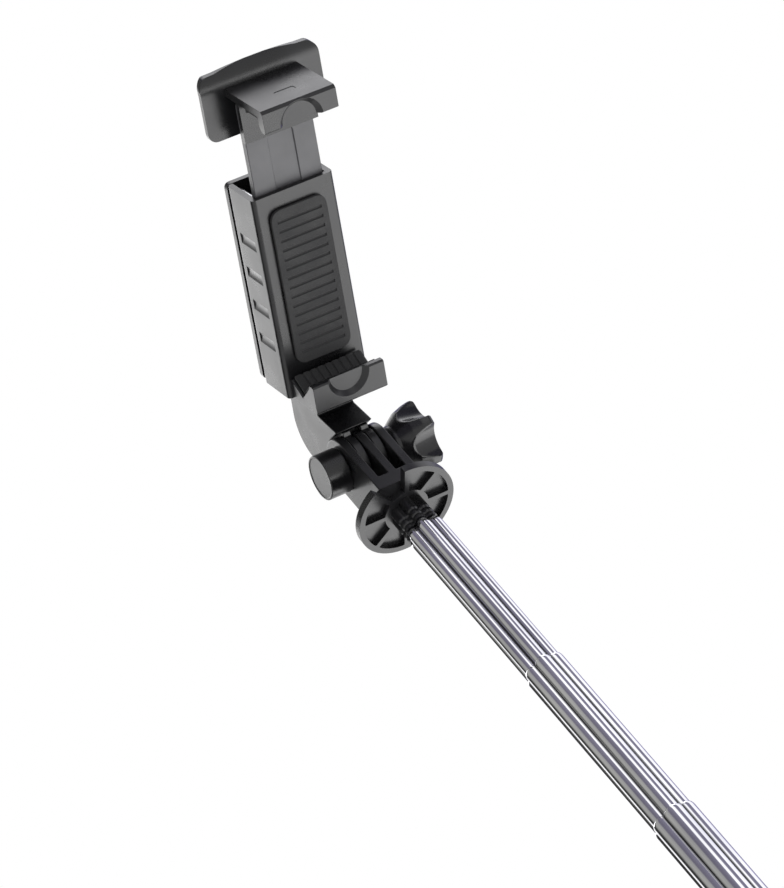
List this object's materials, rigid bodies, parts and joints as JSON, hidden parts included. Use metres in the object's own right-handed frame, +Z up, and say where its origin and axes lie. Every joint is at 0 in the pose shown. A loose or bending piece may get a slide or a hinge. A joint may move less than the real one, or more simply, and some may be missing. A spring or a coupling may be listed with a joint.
{
  "type": "selfie stick",
  "caption": "Hand-held selfie stick: remote handle with shutter button, lobed telescopic steel pole, tilting eared hinge with star knob and a spring-loaded phone clamp.",
  "frame": {"origin": "centre of the handle's flat end face", "axes": "+Z up the pole to the clamp, +X along the hinge bolt towards the star knob, +Y away from the clamped phone's screen; the pole is fully drawn out and the clamp is tilted 73.1 degrees about +X from upright"},
  "size_m": [0.0334, 0.1062, 0.4578],
  "materials": {
    "black_plastic": "satin black moulded ABS with a fine spark texture",
    "grey_plastic": "satin dark grey moulded nylon",
    "button_plastic": "smooth grey moulded button",
    "soft_rubber": "matte black soft rubber",
    "pole_steel": "bright drawn stainless tube, polished along its length",
    "fastener_steel": "plated steel",
    "circuit_board": "green solder mask",
    "battery_foil": "dull pouch foil"
  },
  "bodies": {
    "handle": {"end_cap": "black_plastic", "strap_pin": "fastener_steel", "handle_shell": "black_plastic", "top_collar": "black_plastic", "tube_holder": "black_plastic", "grip_sleeve": "soft_rubber", "circuit_board": "circuit_board", "button_switch": "fastener_steel", "charge_port": "fastener_steel", "battery": "battery_foil", "pole_tube_6": "pole_steel", "tube_glide_6": "black_plastic"},
    "button": {"shutter_button": "button_plastic"},
    "section_5": {"pole_tube_5": "pole_steel", "tube_glide_5": "black_plastic"},
    "section_4": {"pole_tube_4": "pole_steel", "tube_glide_4": "black_plastic"},
    "section_3": {"pole_tube_3": "pole_steel", "tube_glide_3": "black_plastic"},
    "section_2": {"pole_tube_2": "pole_steel", "tube_glide_2": "black_plastic"},
    "section_1": {"pole_tube_1": "pole_steel", "tube_glide_1": "black_plastic", "fork_head": "black_plastic", "nut_cap": "black_plastic", "clamp_nut": "fastener_steel", "knob_washer": "fastener_steel"},
    "knob": {"star_knob": "black_plastic", "pivot_bolt": "fastener_steel"},
    "clamp": {"clamp_base": "black_plastic", "back_cover": "black_plastic", "cover_screw_1": "fastener_steel", "cover_screw_2": "fastener_steel", "cover_screw_3": "fastener_steel", "cover_screw_4": "fastener_steel", "lower_pad": "soft_rubber", "rear_pad": "soft_rubber", "clamp_spring_left": "fastener_steel", "clamp_spring_right": "fastener_steel"},
    "jaw": {"upper_jaw": "black_plastic", "upper_pad": "soft_rubber", "slide_plate": "grey_plastic", "slide_screw_1": "fastener_steel", "slide_screw_2": "fastener_steel"}
  },
  "joints": [
    {"name": "shutter_press", "type": "slide", "parent": "handle", "child": "button", "axis": [0, 1, 0], "range_m": [0, 0.0005], "stiffness_N_per_m": 2000, "springref_m": -0.0004},
    {"name": "section_5_slide", "type": "slide", "parent": "handle", "child": "section_5", "axis": [0, 0, 1], "range_m": [-0.0475, 0]},
    {"name": "section_4_slide", "type": "slide", "parent": "section_5", "child": "section_4", "axis": [0, 0, 1], "range_m": [-0.0475, 0]},
    {"name": "section_3_slide", "type": "slide", "parent": "section_4", "child": "section_3", "axis": [0, 0, 1], "range_m": [-0.0475, 0]},
    {"name": "section_2_slide", "type": "slide", "parent": "section_3", "child": "section_2", "axis": [0, 0, 1], "range_m": [-0.0475, 0]},
    {"name": "section_1_slide", "type": "slide", "parent": "section_2", "child": "section_1", "axis": [0, 0, 1], "range_m": [-0.0475, 0]},
    {"name": "knob_turn", "type": "hinge", "parent": "section_1", "child": "knob", "pos_m": [0, 0, 0.4082], "axis": [1, 0, 0], "continuous": true},
    {"name": "clamp_tilt", "type": "hinge", "parent": "section_1", "child": "clamp", "pos_m": [0, 0, 0.4082], "axis": [1, 0, 0], "range_deg": [-103, 50]},
    {"name": "jaw_slide", "type": "slide", "parent": "clamp", "child": "jaw", "axis": [0, -0.9568, 0.2907], "range_m": [-0.014, 0.014], "stiffness_N_per_m": 150, "springref_m": -0.045, "deforming": ["clamp_spring_left", "clamp_spring_right"]}
  ]
}
